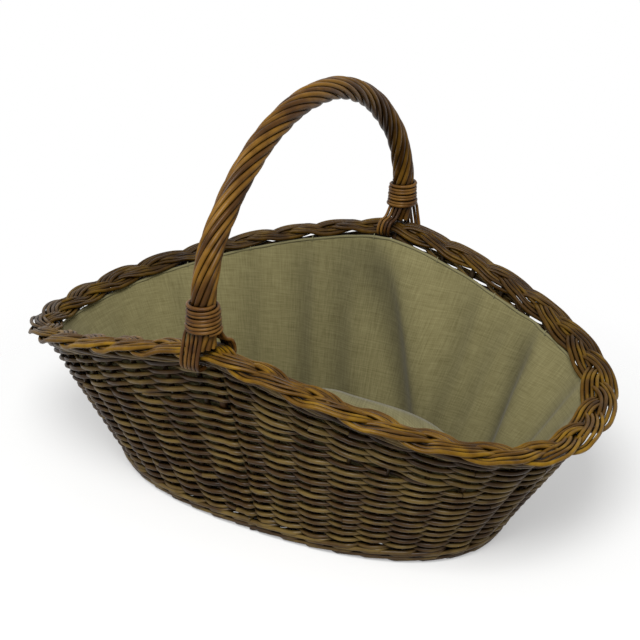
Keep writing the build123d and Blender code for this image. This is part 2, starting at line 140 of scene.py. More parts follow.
@dataclass(frozen=True)
class WillowFinish:
    """Stained, varnished willow rods: a tone for each, mottling, fine streaks and painted shade in the
    hollows between them.
    """

    name: str
    hollow: str
    dark: str
    middle: str
    light: str
    tone_share: float = 0.55
    tone_range: tuple[float, float] = (0.55, 1.2)
    mottle_size: float = 22.0
    rod_length: float = 600.0
    streak_length: float = 24.0
    streaks_round: float = 7.0
    streak_share: float = 0.45
    streak_relief: float = 0.25
    streak_depth: float = 0.4
    roughness: float = 0.42
    gloss: float = 0.1
    varnish: float = 0.06
    varnish_roughness: float = 0.22
    hollow_reach: float = 6.0
    hollow_range: tuple[float, float] = (0.3, 0.95)
    left_painted_shade: float = 0.0
    left_range: tuple[float, float] = (-80.0, -270.0)
    far_painted_shade: float = 0.0
    far_range: tuple[float, float] = (0.0, 140.0)

    def make(self) -> bpy.types.Material:
        """Build the material, whose varnish is a thin coat over the bark's staining.

        Returns:
            The material.
        """
        material, node = new_material(self.name)
        multiply_add = {"operation": "MULTIPLY_ADD"}
        place = node("ShaderNodeTexCoord")
        tone = node("ShaderNodeAttribute", {"attribute_name": "rod_tone"})
        mottling = {"Vector": place.outputs["Object"], "Scale": 1 / (self.mottle_size * MM), "Detail": 3.0}
        mottle = node("ShaderNodeTexNoise", None, mottling)
        # Streaks of bark are half a millimetre wide or less: seven round a rod are as fine as will show
        stretch = (self.streaks_round, self.rod_length / self.streak_length, 1.0)
        drawn = node("ShaderNodeMapping", None, {"Vector": place.outputs["UV"], "Scale": stretch})
        streaking = {"Vector": drawn.outputs["Vector"], "Scale": 1.0, "Detail": 4.0}
        streak = node("ShaderNodeTexNoise", None, streaking)
        toned = {0: tone.outputs["Fac"], 1: self.tone_share, 2: mottle.outputs["Fac"]}
        spread = node("ShaderNodeMath", multiply_add, toned)
        streaked = {0: streak.outputs["Fac"], 1: self.streak_share, 2: spread.outputs[0]}
        mixed = node("ShaderNodeMath", multiply_add, streaked)
        low, high = self.tone_range
        spanned = {"Value": mixed.outputs[0], "From Min": low, "From Max": high}
        level = node("ShaderNodeMapRange", None, spanned)
        ramp = node("ShaderNodeValToRGB", None, {"Fac": level.outputs[0]})
        stops = ramp.color_ramp.elements
        stops.new(1.0)
        for stop, (share, colour) in zip(stops, ((0.0, self.dark), (0.5, self.middle), (1.0, self.light))):
            stop.position = share
            stop.color = linear(colour)
        # Painted shade: ambient occlusion takes the hollows between the rods towards the nearly black hollow
        # colour
        hollow = node("ShaderNodeAmbientOcclusion", {"samples": 6}, {"Distance": self.hollow_reach * MM})
        low, high = self.hollow_range
        opened = {"Value": hollow.outputs["AO"], "From Min": low, "From Max": high}
        hollow_shade = node("ShaderNodeMapRange", None, opened)
        hollow_shaded = {"Factor": hollow_shade.outputs[0], "A": linear(self.hollow), "B": self.shaded(node, place, ramp)}
        colour = node("ShaderNodeMix", {"data_type": "RGBA"}, hollow_shaded)
        carved = {
            "Strength": self.streak_relief,
            "Distance": self.streak_depth * MM,
            "Height": streak.outputs["Fac"],
        }
        relief = node("ShaderNodeBump", None, carved)
        surface = {
            "Base Color": colour.outputs["Result"],
            "Roughness": self.roughness,
            "Specular IOR Level": self.gloss,
            "Coat Weight": self.varnish,
            "Coat Roughness": self.varnish_roughness,
            "Normal": relief.outputs["Normal"],
        }
        shader = node("ShaderNodeBsdfPrincipled", None, surface)
        node("ShaderNodeOutputMaterial", None, {0: shader.outputs[0]})
        return material

    def shaded(self, node: NodeAdder, place: bpy.types.Node, ramp: bpy.types.Node) -> bpy.types.NodeSocket:
        """Paint shade into the colour towards the left end and the far side, where less light falls.

        Args:
            node: Adds a node to the material.
            place: Its texture coordinates.
            ramp: The colour of the staining.

        Returns:
            The darkened colour.
        """
        axes = node("ShaderNodeSeparateXYZ", None, {0: place.outputs["Object"]})
        # Painted shade, ramped along X towards the left end and along Y towards the far side
        painted_shade_ramps = (("X", self.left_range, self.left_painted_shade), ("Y", self.far_range, self.far_painted_shade))
        kept = []
        for axis, (start, stop), share in painted_shade_ramps:
            fading = {
                "Value": axes.outputs[axis],
                "From Min": start * MM,
                "From Max": stop * MM,
                "To Min": 1.0,
                "To Max": 1 - share,
            }
            kept.append(node("ShaderNodeMapRange", {"interpolation_type": "SMOOTHSTEP"}, fading).outputs[0])
        both = node("ShaderNodeMath", {"operation": "MULTIPLY"}, {0: kept[0], 1: kept[1]})
        dimmed = {0: ramp.outputs["Color"], "Scale": both.outputs[0]}
        return node("ShaderNodeVectorMath", {"operation": "SCALE"}, dimmed).outputs[0]


@dataclass(frozen=True)
class ClothFinish:
    """Dyed plain-weave cotton: crossing threads, slubs and a soft nap."""

    name: str
    thread_dark: str
    thread_light: str
    thread_spacing: float = 1.5
    thread_share: float = 0.25
    slub_thickness: float = 1.6
    slub_length: float = 26.0
    tone_range: tuple[float, float] = (0.65, 1.5)
    weave_relief: float = 0.35
    weave_depth: float = 0.5
    roughness: float = 0.9
    gloss: float = 0.2
    nap: float = 0.08
    nap_roughness: float = 0.6
    crease_shade: float = 0.47

    def make(self) -> bpy.types.Material:
        """Build the material. Threads of 0.7 mm wouldn't show, so they are drawn 1.5 mm apart.

        Returns:
            The material.
        """
        material, node = new_material(self.name)
        flat = node("ShaderNodeTexCoord").outputs["UV"]
        waves = []
        # The wave texture's bands lie a twentieth of a full turn apart at a scale of 1
        for axis in ("X", "Y"):
            thread = {
                "Vector": flat,
                "Scale": 1 / self.thread_spacing * FULL_TURN / 20,
                "Distortion": 1.2,
                "Detail": 2.0,
                "Detail Scale": 0.6,
            }
            waves.append(node("ShaderNodeTexWave", {"bands_direction": axis, "wave_profile": "SIN"}, thread))
        slubs = []
        thick, long = self.slub_thickness, self.slub_length
        for across, along in ((thick, long), (long, thick)):
            drawn = node("ShaderNodeMapping", None, {"Vector": flat, "Scale": (1 / across, 1 / along, 1.0)})
            uneven = {"Vector": drawn.outputs["Vector"], "Scale": 1.0, "Detail": 3.0, "Roughness": 0.6}
            slubs.append(node("ShaderNodeTexNoise", None, uneven))
        both_slubs = {0: slubs[0].outputs["Fac"], 1: slubs[1].outputs["Fac"]}
        slub = node("ShaderNodeMath", {"operation": "ADD"}, both_slubs)
        both_threads = {0: waves[0].outputs["Fac"], 1: waves[1].outputs["Fac"]}
        threads = node("ShaderNodeMath", {"operation": "MULTIPLY"}, both_threads)
        woven = {0: threads.outputs[0], 1: self.thread_share, 2: slub.outputs[0]}
        mixed = node("ShaderNodeMath", {"operation": "MULTIPLY_ADD"}, woven)
        low, high = self.tone_range
        spanned = {"Value": mixed.outputs[0], "From Min": low, "From Max": high}
        level = node("ShaderNodeMapRange", None, spanned)
        dyes = {"Factor": level.outputs[0], "A": linear(self.thread_dark), "B": linear(self.thread_light)}
        colour = node("ShaderNodeMix", {"data_type": "RGBA"}, dyes)
        # Painted shade: the crease attribute darkens the valleys beside the folds, the puff and the cloth
        # low down, which makes soft cloth read as cloth
        crease = node("ShaderNodeAttribute", {"attribute_name": "crease"})
        shading = {"Value": crease.outputs["Fac"], "To Min": 1.0, "To Max": self.crease_shade}
        shade = node("ShaderNodeMapRange", None, shading)
        dimmed = {0: colour.outputs["Result"], "Scale": shade.outputs[0]}
        crease_shaded_colour = node("ShaderNodeVectorMath", {"operation": "SCALE"}, dimmed)
        raised = {
            "Strength": self.weave_relief,
            "Distance": self.weave_depth * MM,
            "Height": mixed.outputs[0],
        }
        relief = node("ShaderNodeBump", None, raised)
        surface = {
            "Base Color": crease_shaded_colour.outputs["Vector"],
            "Roughness": self.roughness,
            "Sheen Weight": self.nap,
            "Sheen Roughness": self.nap_roughness,
            "Specular IOR Level": self.gloss,
            "Normal": relief.outputs["Normal"],
        }
        shader = node("ShaderNodeBsdfPrincipled", None, surface)
        node("ShaderNodeOutputMaterial", None, {0: shader.outputs[0]})
        return material


def finish_piece(
    name: str,
    mesh: bpy.types.Mesh,
    material: bpy.types.Material,
    replaced: tuple[str, ...],
) -> bpy.types.Object:
    """Make a mesh a piece of the basket.

    Args:
        name: The piece's name.
        mesh: Its mesh, in metres.
        material: Its material.
        replaced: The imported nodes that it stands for.

    Returns:
        The object, riding on the basket's one body.
    """
    mesh.materials.clear()
    mesh.materials.append(material)
    piece = bpy.data.objects.new(name, mesh)
    bpy.context.scene.collection.objects.link(piece)
    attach(piece, "root")
    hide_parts(*replaced)
    LOG.info("%s: %d faces", name, len(mesh.polygons))
    return piece


@dataclass(frozen=True)
class TrugShape:
    """The basket's own surfaces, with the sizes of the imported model."""

    border_half_length: float = 282.0
    border_half_width: float = 181.0
    border_width_at_ends: float = 36.0
    border_width_at_middle: float = 34.0
    border_thickness: float = 12.0
    border_middle_height: float = 220.0
    border_end_height: float = 143.0
    sheer_power: float = 1.27
    rim_power: float = 2.4
    wall_half_length: float = 280.0
    wall_half_width: float = 178.0
    base_half_length: float = 197.0
    base_half_width: float = 106.0
    base_power: float = 2.35
    seat: float = 0.6
    stakes: int = 40
    slack_turn: float = 0.195
    slack_width: float = 0.045
    rim_steps: int = 1440

    def plan(self, half_length: float, half_width: float, power: float, angle: np.ndarray) -> np.ndarray:
        """Return points of a rounded-rectangle oval.

        Args:
            half_length: Half its size along X.
            half_width: Half its size along Y.
            power: 2 for an ellipse, and more for squarer corners.
            angle: Angles round it.

        Returns:
            A level point for each angle.
        """
        cosine, sine = np.cos(angle), np.sin(angle)
        x = half_length * np.copysign(np.abs(cosine) ** (2 / power), cosine)
        y = half_width * np.copysign(np.abs(sine) ** (2 / power), sine)
        return np.stack([x, y, np.zeros_like(x)], axis=-1)

    def outward(self, angle: np.ndarray) -> np.ndarray:
        """Return the level directions that point out from the rim.

        Args:
            angle: Angles round it.

        Returns:
            A unit direction for each angle.
        """
        cosine, sine = np.cos(angle), np.sin(angle)
        steepness = 2 - 2 / self.rim_power
        x = np.copysign(np.abs(cosine) ** steepness, cosine) / self.wall_half_length
        y = np.copysign(np.abs(sine) ** steepness, sine) / self.wall_half_width
        both = np.stack([x, y, np.zeros_like(x)], axis=-1)
        return both / np.linalg.norm(both, axis=-1, keepdims=True)

    def border_centre(self, angle: np.ndarray) -> np.ndarray:
        """Return points of the border's centre line.

        Args:
            angle: Angles round it.

        Returns:
            A point for each angle.
        """
        points = self.plan(self.border_half_length, self.border_half_width, self.rim_power, angle)
        reach = np.minimum(np.abs(points[:, 0]) / self.border_half_length, 1)
        fall = (self.border_middle_height - self.border_end_height) * reach**self.sheer_power
        points[:, 2] = self.border_middle_height - fall
        return points

    def wall_top(self, angle: np.ndarray) -> np.ndarray:
        """Return points of the middle of the wall's top edge.

        Args:
            angle: Angles round it.

        Returns:
            A point for each angle.
        """
        points = self.plan(self.wall_half_length, self.wall_half_width, self.rim_power, angle)
        points[:, 2] = self.border_centre(angle)[:, 2] - self.border_thickness / 2 - self.seat
        return points

    def wall_point(self, angle: np.ndarray, height: np.ndarray) -> np.ndarray:
        """Return points of the wall's middle surface.

        Args:
            angle: Angles round it.
            height: A height for each angle.

        Returns:
            A point for each angle.
        """
        foot = self.plan(self.base_half_length, self.base_half_width, self.base_power, angle)
        top = self.wall_top(angle)
        share = np.asarray(height) / top[:, 2]
        return foot + (top - foot) * share[..., None]

    def slack(self, angle: np.ndarray) -> np.ndarray:
        """Return, from 0 to 1, how open the weave stands under the border, beside the far leg."""
        away = ((np.asarray(angle) / FULL_TURN) % 1.0 - self.slack_turn) / self.slack_width
        return np.exp(-(away**4))

    def half_border(self, angle: np.ndarray) -> np.ndarray:
        """Return half the border's width at some angles."""
        widening = self.border_width_at_ends - self.border_width_at_middle
        return (self.border_width_at_middle + widening * np.abs(np.cos(angle))) / 2

    @cached_property
    def rim(self) -> tuple[np.ndarray, np.ndarray]:
        """Measure the border from the right end.

        Returns:
            Fine angles round the rim, and the border's length up to each.
        """
        angle = np.linspace(0, FULL_TURN, self.rim_steps + 1)
        steps = np.linalg.norm(np.diff(self.border_centre(angle), axis=0), axis=1)
        return angle, np.concatenate([[0.0], np.cumsum(steps)])

    def angle_at(self, turns: np.ndarray) -> np.ndarray:
        """Return the angles at some numbers of stakes, which stand evenly along the rim.

        Args:
            turns: Numbers of stakes from the first one.

        Returns:
            An angle for each.
        """
        fine, run = self.rim
        share = (np.asarray(turns) + 0.5) / self.stakes
        whole = np.floor(share)
        return whole * FULL_TURN + np.interp((share - whole) * run[-1], run, fine)


SHAPE = TrugShape()


@dataclass
class RodBundle:
    """Round rods that become one mesh, each with its own tone."""

    name: str
    radius: float
    roundness: Roundness = Roundness.EIGHT_SIDED
    sharp_edge: float = 55.0
    paths: list[tuple[np.ndarray, int, np.ndarray, bool]] = field(default_factory=list)

    def add(
        self, points: np.ndarray, tone: float, thickness: np.ndarray | float = 1.0, closed: bool = False
    ) -> None:
        """Lay one rod along points.

        Args:
            points: Its centre line.
            tone: From 0, darkest, to 1, lightest.
            thickness: Its radius along the way, as a share of the bundle's.
            closed: Whether the rod's end meets its start.
        """
        step = int(round(min(max(tone, 0.0), 1.0) * (TONE_STEPS - 1)))
        shares = np.broadcast_to(np.asarray(thickness, float), (len(points),))
        self.paths.append((np.asarray(points, float), step, shares, closed))

    def mesh(self) -> bpy.types.Mesh:
        """Bevel every path into a rod, close its ends and keep its tone as an attribute.

        Returns:
            The mesh, in metres.
        """
        curve = bpy.data.curves.new(self.name, "CURVE")
        curve.dimensions = "3D"
        curve.bevel_depth = self.radius * MM
        curve.bevel_resolution = self.roundness.value
        curve.use_fill_caps = True
        for _ in range(TONE_STEPS):
            curve.materials.append(None)
        for points, step, shares, closed in self.paths:
            spline = curve.splines.new("POLY")
            spline.points.add(len(points) - 1)
            placed = np.ones((len(points), 4))
            placed[:, :3] = points * MM
            spline.points.foreach_set("co", placed.ravel())
            spline.points.foreach_set("radius", np.ascontiguousarray(shares))
            spline.use_cyclic_u = closed
            spline.material_index = step
        holder = bpy.data.objects.new(self.name, curve)
        bpy.context.scene.collection.objects.link(holder)
        bpy.context.view_layer.update()
        mesh = bpy.data.meshes.new_from_object(holder)
        bpy.data.objects.remove(holder)
        steps = np.zeros(len(mesh.polygons), dtype=np.int32)
        mesh.polygons.foreach_get("material_index", steps)
        tones = mesh.attributes.new("rod_tone", "FLOAT", "FACE")
        tones.data.foreach_set("value", (steps / (TONE_STEPS - 1)).astype(np.float32))
        mesh.polygons.foreach_set("material_index", np.zeros(len(mesh.polygons), dtype=np.int32))
        shell = bmesh.new()
        shell.from_mesh(mesh)
        bmesh.ops.remove_doubles(shell, verts=shell.verts, dist=0.01 * MM)
        bmesh.ops.recalc_face_normals(shell, faces=shell.faces)
        for face in shell.faces:
            face.smooth = True
        for edge in shell.edges:
            edge.smooth = edge.calc_face_angle(0.0) < math.radians(self.sharp_edge)
        shell.to_mesh(mesh)
        shell.free()
        return mesh


def smooth_path(points: list[np.ndarray | tuple[float, float, float]], steps: int = 6) -> np.ndarray:
    """Round a few guide points into a smooth line that goes through them.

    Args:
        points: The guide points.
        steps: Points on each stretch.

    Returns:
        The line's points.
    """
    guide = np.array([points[0], *points, points[-1]], float)
    share = np.linspace(0, 1, steps, endpoint=False)[:, None]
    runs = []
    for a, b, c, d in zip(guide, guide[1:], guide[2:], guide[3:]):
        bend = 2 * a - 5 * b + 4 * c - d
        twist = 3 * b - a - 3 * c + d
        runs.append(0.5 * (2 * b + (c - a) * share + bend * share**2 + twist * share**3))
    return np.vstack([*runs, guide[-1:]])


@dataclass(frozen=True)
class Wale:
    """A heavier round's rods: their size, how far each rises or sinks while in front, and their reach."""

    rod_radius: float
    climb: float
    reach: float


FOOT_WALE = Wale(2.35, 5.2, 5.6)
HEAD_WALE = Wale(2.2, -6.0, 5.0)


@dataclass
class WovenWall:
    """The randed wall: level rows low down, rows that follow the border above them, and heavier wales."""

    rod_radius: float = 2.15
    reach: float = 4.4
    row_pitch_at_middle: float = 5.0
    row_pitch_at_ends: float = 4.05
    row_limit: int = 60
    row_spill: float = 0.4
    following_rows: int = 8
    row_bluntness: float = 0.75
    row_wander: float = 0.45
    row_dip: float = 0.5
    points_per_stake: int = 6
    wale_points_per_stake: int = 8
    wale_height: float = 15.5
    wale_wander: float = 0.3
    wale_steepness: float = 9.0
    foot_rounds: int = 2
    foot_height: float = 3.4
    foot_pitch: float = 6.9
    top_wale_height: float = 10.0
    head_lift: float = 1.6
    head_drop: float = 3.5
    front_share: float = 0.7
    peg_reach: float = 5.9
    peg_span: float = 0.34
    peg_lag: float = 0.27
    lag_middle: float = 0.1
    lag_width: float = 0.4
    thick_end: float = 1.14
    wale_thick_end: float = 1.1
    thin_end: float = 0.88
    tones: tuple[float, float] = (1.7, 1.9)
    seed: int = 11

    def pitch(self, angle: np.ndarray) -> np.ndarray:
        """Return the upright pitch of the rows.

        Args:
            angle: Angles round the wall.

        Returns:
            A pitch for each angle.
        """
        top = SHAPE.wall_top(angle)[:, 2]
        low, high = SHAPE.border_end_height, SHAPE.border_middle_height
        share = (top + SHAPE.border_thickness / 2 - low) / (high - low)
        return self.row_pitch_at_ends + (self.row_pitch_at_middle - self.row_pitch_at_ends) * share

    def level_height(self, number: int, angle: np.ndarray) -> np.ndarray:
        """Return the heights of a level row, counted from the foot."""
        return self.wale_height + (number + 0.5) * self.pitch(angle)

    def following_height(self, number: int, angle: np.ndarray) -> np.ndarray:
        """Return the heights of a row that follows the border, counted from the top."""
        high = SHAPE.wall_top(angle)[:, 2] - self.top_wale_height
        return high - (number + 0.5) * self.pitch(angle)

    def foot_low(self, number: int, angle: np.ndarray) -> np.ndarray:
        """Return the lowest heights of a round at the wall's foot."""
        return np.full(len(angle), self.foot_height + self.foot_pitch * number)

    def head_low(self, angle: np.ndarray) -> np.ndarray:
        """Return the lowest heights of the round under the border, which sags where the weave is open."""
        edge = SHAPE.wall_top(angle)[:, 2] - self.top_wale_height
        return edge + self.head_lift - self.head_drop * SHAPE.slack(angle)

    def from_pegs(self, turns: np.ndarray) -> np.ndarray:
        """Return how far places lie past the nearer of the handle's two pegs, in stakes."""
        half = SHAPE.stakes / 2
        return (turns - SHAPE.stakes / 4 + 0.5 + half / 2) % half - half / 2

    def past_pegs(self, turns: np.ndarray, across: np.ndarray) -> np.ndarray:
        """Take a rod clear of the handle's two pegs.

        Args:
            turns: Places along the rod, in stakes.
            across: How far it stands off the wall's middle there.

        Returns:
            Offsets that also clear the pegs.
        """
        away = self.from_pegs(turns)
        bulge = self.peg_reach * (1 - (away / self.peg_span) ** 2)
        clear = np.copysign(np.maximum(np.abs(across), bulge), across)
        return np.where(np.abs(away) < self.peg_span, clear, across)

    def row(self, turns: np.ndarray, height: np.ndarray, parity: int) -> np.ndarray:
        """Weave one rod in front of one stake and behind the next.

        Args:
            turns: Places along the rod, in stakes.
            height: Its heights there.
            parity: Which stakes it passes in front of.

        Returns:
            The rod's points.
        """
        angle = SHAPE.angle_at(turns)
        late = self.peg_lag * np.exp(-(((self.from_pegs(turns) - self.lag_middle) / self.lag_width) ** 2))
        swing = np.cos(math.pi * (turns - late + parity))
        blunt = np.copysign(np.abs(swing) ** self.row_bluntness, swing)
        across = self.past_pegs(turns, blunt * self.reach)
        return SHAPE.wall_point(angle, height) + SHAPE.outward(angle) * across[:, None]

    def rods_along(
        self,
        bundle: RodBundle,
        start: int,
        end: int,
        height_of: Heights,
        parity: int,
        dice: np.random.Generator,
    ) -> None:
        """Lay one row as rods that end and start behind the stakes.

        Args:
            bundle: What the rods are added to.
            start: The row's first stake.
            end: Its last stake.
            height_of: Gives the row's heights from angles.
            parity: Which stakes the row passes in front of.
            dice: The seeded source of tones and lengths.
        """
        place = start
        while place < end:
            stop = min(place + 2 * int(dice.integers(3, 7)) + 1, end)
            turns = np.linspace(place, stop, (stop - place) * self.points_per_stake + 1)
            angle = SHAPE.angle_at(turns)
            taper = np.linspace(self.thick_end, self.thin_end, len(turns))
            taper = taper * (1 + 0.04 * np.sin(turns * 2.3 + parity))
            wander = self.row_wander * np.sin(turns * dice.uniform(0.8, 1.7) + dice.uniform(0, FULL_TURN))
            dip = self.row_dip * np.sin(math.pi * (turns + parity))
            height = height_of(angle) + wander + dip
            bundle.add(self.row(turns, height, parity), dice.beta(*self.tones), taper)
            place = stop

    def build_rows(self, material: bpy.types.Material) -> None:
        """Weave the side wall.

        Args:
            material: Its willow.
        """
        dice = np.random.default_rng(self.seed)
        bundle = RodBundle("side_weave_rods", self.rod_radius)
        places = np.arange(SHAPE.stakes + 1)
        angles = SHAPE.angle_at(places)
        pitches = self.pitch(angles)
        limit = SHAPE.wall_top(angles)[:, 2] - self.top_wale_height - self.following_rows * pitches
        for number in range(self.row_limit):
            fits = self.wale_height + (number + 0.5) * pitches < limit + self.row_spill * pitches
            if not fits.any():
                break
            level = partial(self.level_height, number)
            if fits.all():
                offset = int(dice.integers(0, SHAPE.stakes))
                self.rods_along(bundle, offset, offset + SHAPE.stakes, level, number, dice)
                continue
            half = SHAPE.stakes // 2
            for low in (0, half):
                inside = places[low : low + half + 1][fits[low : low + half + 1]]
                if len(inside) > 2:
                    self.rods_along(bundle, int(inside[0]), int(inside[-1]), level, number, dice)
        for number in range(self.following_rows):
            offset = int(dice.integers(0, SHAPE.stakes))
            following = partial(self.following_height, number)
            self.rods_along(bundle, offset, offset + SHAPE.stakes, following, number, dice)
        finish_piece(bundle.name, bundle.mesh(), material, ("side_weave",))

    def wale_rod(self, turns: np.ndarray, first: int, low: np.ndarray, wale: Wale) -> np.ndarray:
        """Weave a rod in front of two stakes and behind one.

        Args:
            turns: Places along the rod, in stakes.
            first: Which of the round's three rods it is.
            low: Its lowest height at each place.
            wale: Its sizes.

        Returns:
            The rod's points.
        """
        angle = SHAPE.angle_at(turns)
        phase = ((turns - first + 0.5) / 3) % 1.0
        ahead, behind = self.front_share, 1 - self.front_share
        front = np.clip(np.minimum(phase, ahead - phase) * self.wale_steepness, -1, 1)
        back = -np.sin((phase - ahead) / behind * math.pi)
        across = self.past_pegs(turns, np.where(phase > ahead, back, front) * wale.reach)
        share = np.where(phase < ahead, phase / ahead, (1 - phase) / behind)
        height = low + (wale.climb * share if wale.climb > 0 else wale.climb * (share - 1))
        return SHAPE.wall_point(angle, height) + SHAPE.outward(angle) * across[:, None]

    def wale_round(self, bundle: RodBundle, low_of: Heights, wale: Wale, dice: np.random.Generator) -> None:
        """Lay one round of three rods, each in runs, because a round's end is out of step with its start.

        Args:
            bundle: What the rods are added to.
            low_of: Gives the round's lowest heights from angles.
            wale: The rods' sizes.
            dice: The seeded source of tones and lengths.
        """
        for rod in range(3):
            start = rod - 1
            while start < SHAPE.stakes + rod - 1:
                stop = min(start + 3 * int(dice.integers(3, 5)), SHAPE.stakes + rod - 1)
                turns = np.linspace(start, stop, (stop - start) * self.wale_points_per_stake + 1)
                low = low_of(SHAPE.angle_at(turns)) + self.wale_wander * np.sin(turns * 1.3 + rod)
                taper = np.linspace(self.wale_thick_end, self.thin_end, len(turns))
                bundle.add(self.wale_rod(turns, rod, low, wale), dice.beta(*self.tones), taper)
                start = stop

    def build_wales(self, material: bpy.types.Material) -> None:
        """Weave the heavier rounds at the wall's foot and just under the border.

        Args:
            material: Their willow.
        """
        dice = np.random.default_rng(self.seed + 1)
        foot = RodBundle("bottom_wale_rods", FOOT_WALE.rod_radius)
        for number in range(self.foot_rounds):
            self.wale_round(foot, partial(self.foot_low, number), FOOT_WALE, dice)
        finish_piece(foot.name, foot.mesh(), material, ("bottom_wale",))
        head = RodBundle("top_wale_rods", HEAD_WALE.rod_radius)
        self.wale_round(head, self.head_low, HEAD_WALE, dice)
        finish_piece(head.name, head.mesh(), material, ("top_wale",))


@dataclass
class PlaitedBorder:
    """The flat three-strand plait round the rim, whose strands swing from edge to edge."""

    rod_radius: float = 2.0
    rod_spacing: float = 4.2
    rods_in_strand: int = 4
    strands: int = 3
    repeats: int = 10
    lobe_shift: float = 0.29
    outward_share: float = 0.4
    dwell: float = 1.1
    lift: float = 2.4
    lift_dwell: float = 1.6
    lie: float = 0.4
    crown: float = 0.012
    tones: tuple[float, float] = (1.6, 1.6)
    points_per_repeat: int = 44
    seed: int = 5

    def build(self, material: bpy.types.Material) -> None:
        """Plait the border.

        Args:
            material: Its willow.
        """
        dice = np.random.default_rng(self.seed)
        bundle = RodBundle("plaited_border_rods", self.rod_radius)
        total = SHAPE.rim[1][-1]
        along = np.linspace(0, total, self.repeats * self.points_per_repeat, endpoint=False)
        turn = along / total * FULL_TURN
        # Small waves of several lengths keep the rods from lying quite even
        for strand in range(self.strands):
            for rod in range(self.rods_in_strand):
                uneven = [dice.uniform(0, FULL_TURN) for _ in range(3)]
                side = (rod - (self.rods_in_strand - 1) / 2) * self.rod_spacing
                side = side + 0.3 * np.sin(turn * 23 + uneven[0]) + 0.2 * np.sin(turn * 37 + uneven[1])
                rise = 0.5 * np.sin(turn * 31 + uneven[2]) + 0.25 * math.sin(rod * 2.6)
                thickness = 1 + 0.08 * np.sin(turn * 5 + uneven[1])
                bundle.add(self.rod_line(along, strand, side, rise), dice.beta(*self.tones), thickness, True)
        finish_piece(bundle.name, bundle.mesh(), material, ("plaited_border",))

    def turned_phase(self, place: np.ndarray) -> tuple[np.ndarray, np.ndarray]:
        """Turn places into phases. A strand crosses outward more steeply than it comes back.

        Args:
            place: Places along a strand, counted in repeats.

        Returns:
            Its phase, 0 on the inner edge and half a turn on the outer one, and how fast it runs there.
        """
        share = place % 1.0
        outward = share < self.outward_share
        back_share = 1 - self.outward_share
        half = np.where(outward, share / self.outward_share, 1 + (share - self.outward_share) / back_share)
        return math.pi * half, math.pi / np.where(outward, self.outward_share, back_share)

    def rod_line(self, along: np.ndarray, strand: int, side: np.ndarray, rise: np.ndarray) -> np.ndarray:
        """Return one rod's centre line.

        Args:
            along: Places along the border.
            strand: Which strand the rod belongs to.
            side: How far the rod lies from its strand's middle.
            rise: How far it lies above its strand's middle.

        Returns:
            The rod's points.
        """
        fine, run = SHAPE.rim
        total = run[-1]
        repeat = total / self.repeats
        half = SHAPE.half_border(np.interp(along % total, run, fine))
        swing = half - self.rods_in_strand * self.rod_spacing / 2
        phase, rate = self.turned_phase(along / repeat + (strand - self.lobe_shift) / self.strands)
        bent = np.tanh(self.dwell * np.cos(phase))
        reach = swing / math.tanh(self.dwell)
        lean = self.dwell * (1 - bent**2) * np.sin(phase) * reach * rate / repeat
        slope = np.sqrt(1 + lean**2)
        across = -bent * reach + side / slope
        moved = np.interp((along - side * lean / slope) % total, run, fine)
        lifted = np.tanh(self.lift_dwell * np.sin(2 * phase)) * self.lift
        height = lifted - self.crown * across**2 + rise + self.lie
        return SHAPE.border_centre(moved) + SHAPE.outward(moved) * across[:, None] + UP * height[:, None]


@dataclass
class HandleArch:
    """The arch: a thick bow with ten rods laid round it in a long right-handed twist."""

    half_span: float = 189.0
    straight_to: float = 260.7
    shoulder_radius: float = 100.3
    crown_top: float = 404.0
    foot_height: float = 227.0
    rods: int = 10
    ring_radius: float = 8.3
    rod_radius: float = 2.75
    lay: float = 172.0
    leg_points: int = 8
    arc_points: int = 30
    points: int = 190
    unevenness: float = 0.35
    tones: tuple[float, float] = (2.0, 2.0)
    seed: int = 3

    def centre_line(self) -> np.ndarray:
        """Draw the bow from straight legs, two shoulder arcs and a crown arc.

        Returns:
            Its points, from the near foot to the far one.
        """
        rise = self.crown_top - self.straight_to
        span, shoulder = self.half_span, self.shoulder_radius
        crown = (span**2 + rise**2 - 2 * span * shoulder) / (2 * (rise - shoulder))
        drop = rise - crown
        reach = span - shoulder
        turn = math.atan2(-drop, reach)
        leg = np.linspace(self.foot_height, self.straight_to, self.leg_points, endpoint=False)
        bend = np.linspace(0, turn, self.arc_points, endpoint=False)
        top = np.linspace(turn, math.pi / 2, self.arc_points)
        inward = [np.full(len(leg), -span), -(reach + shoulder * np.cos(bend)), -crown * np.cos(top)]
        base = self.straight_to
        upward = [leg, base + shoulder * np.sin(bend), base + drop + crown * np.sin(top)]
        y, z = np.concatenate(inward), np.concatenate(upward)
        near = np.stack([np.zeros_like(y), y, z], axis=1)
        far = near[-2::-1] * np.array([1.0, -1.0, 1.0])
        return np.vstack([near, far])

    def build(self, material: bpy.types.Material) -> None:
        """Lay the rods round the bow.

        Args:
            material: Their willow.
        """
        dice = np.random.default_rng(self.seed)
        line = self.centre_line()
        run = np.concatenate([[0], np.cumsum(np.linalg.norm(np.diff(line, axis=0), axis=1))])
        even = np.linspace(0, run[-1], self.points)
        centre = np.stack([np.interp(even, run, line[:, axis]) for axis in range(3)], axis=1)
        along = np.gradient(centre, axis=0)
        along /= np.linalg.norm(along, axis=1, keepdims=True)
        sideways = np.array([1.0, 0.0, 0.0])
        inward = np.cross(along, sideways)
        bundle = RodBundle("handle_twisted_rods", self.rod_radius)
        for rod in range(self.rods):
            turn = FULL_TURN * (even / self.lay + rod / self.rods)
            uneven = self.ring_radius + self.unevenness * np.sin(turn * 1.7 + rod * 2.1)
            offset = np.cos(turn)[:, None] * sideways + np.sin(turn)[:, None] * inward
            taper = 1 + 0.06 * np.sin(even / 90 + rod)
            bundle.add(centre + offset * uneven[:, None], dice.beta(*self.tones), taper)
        finish_piece(bundle.name, bundle.mesh(), material, ("handle_rods",))


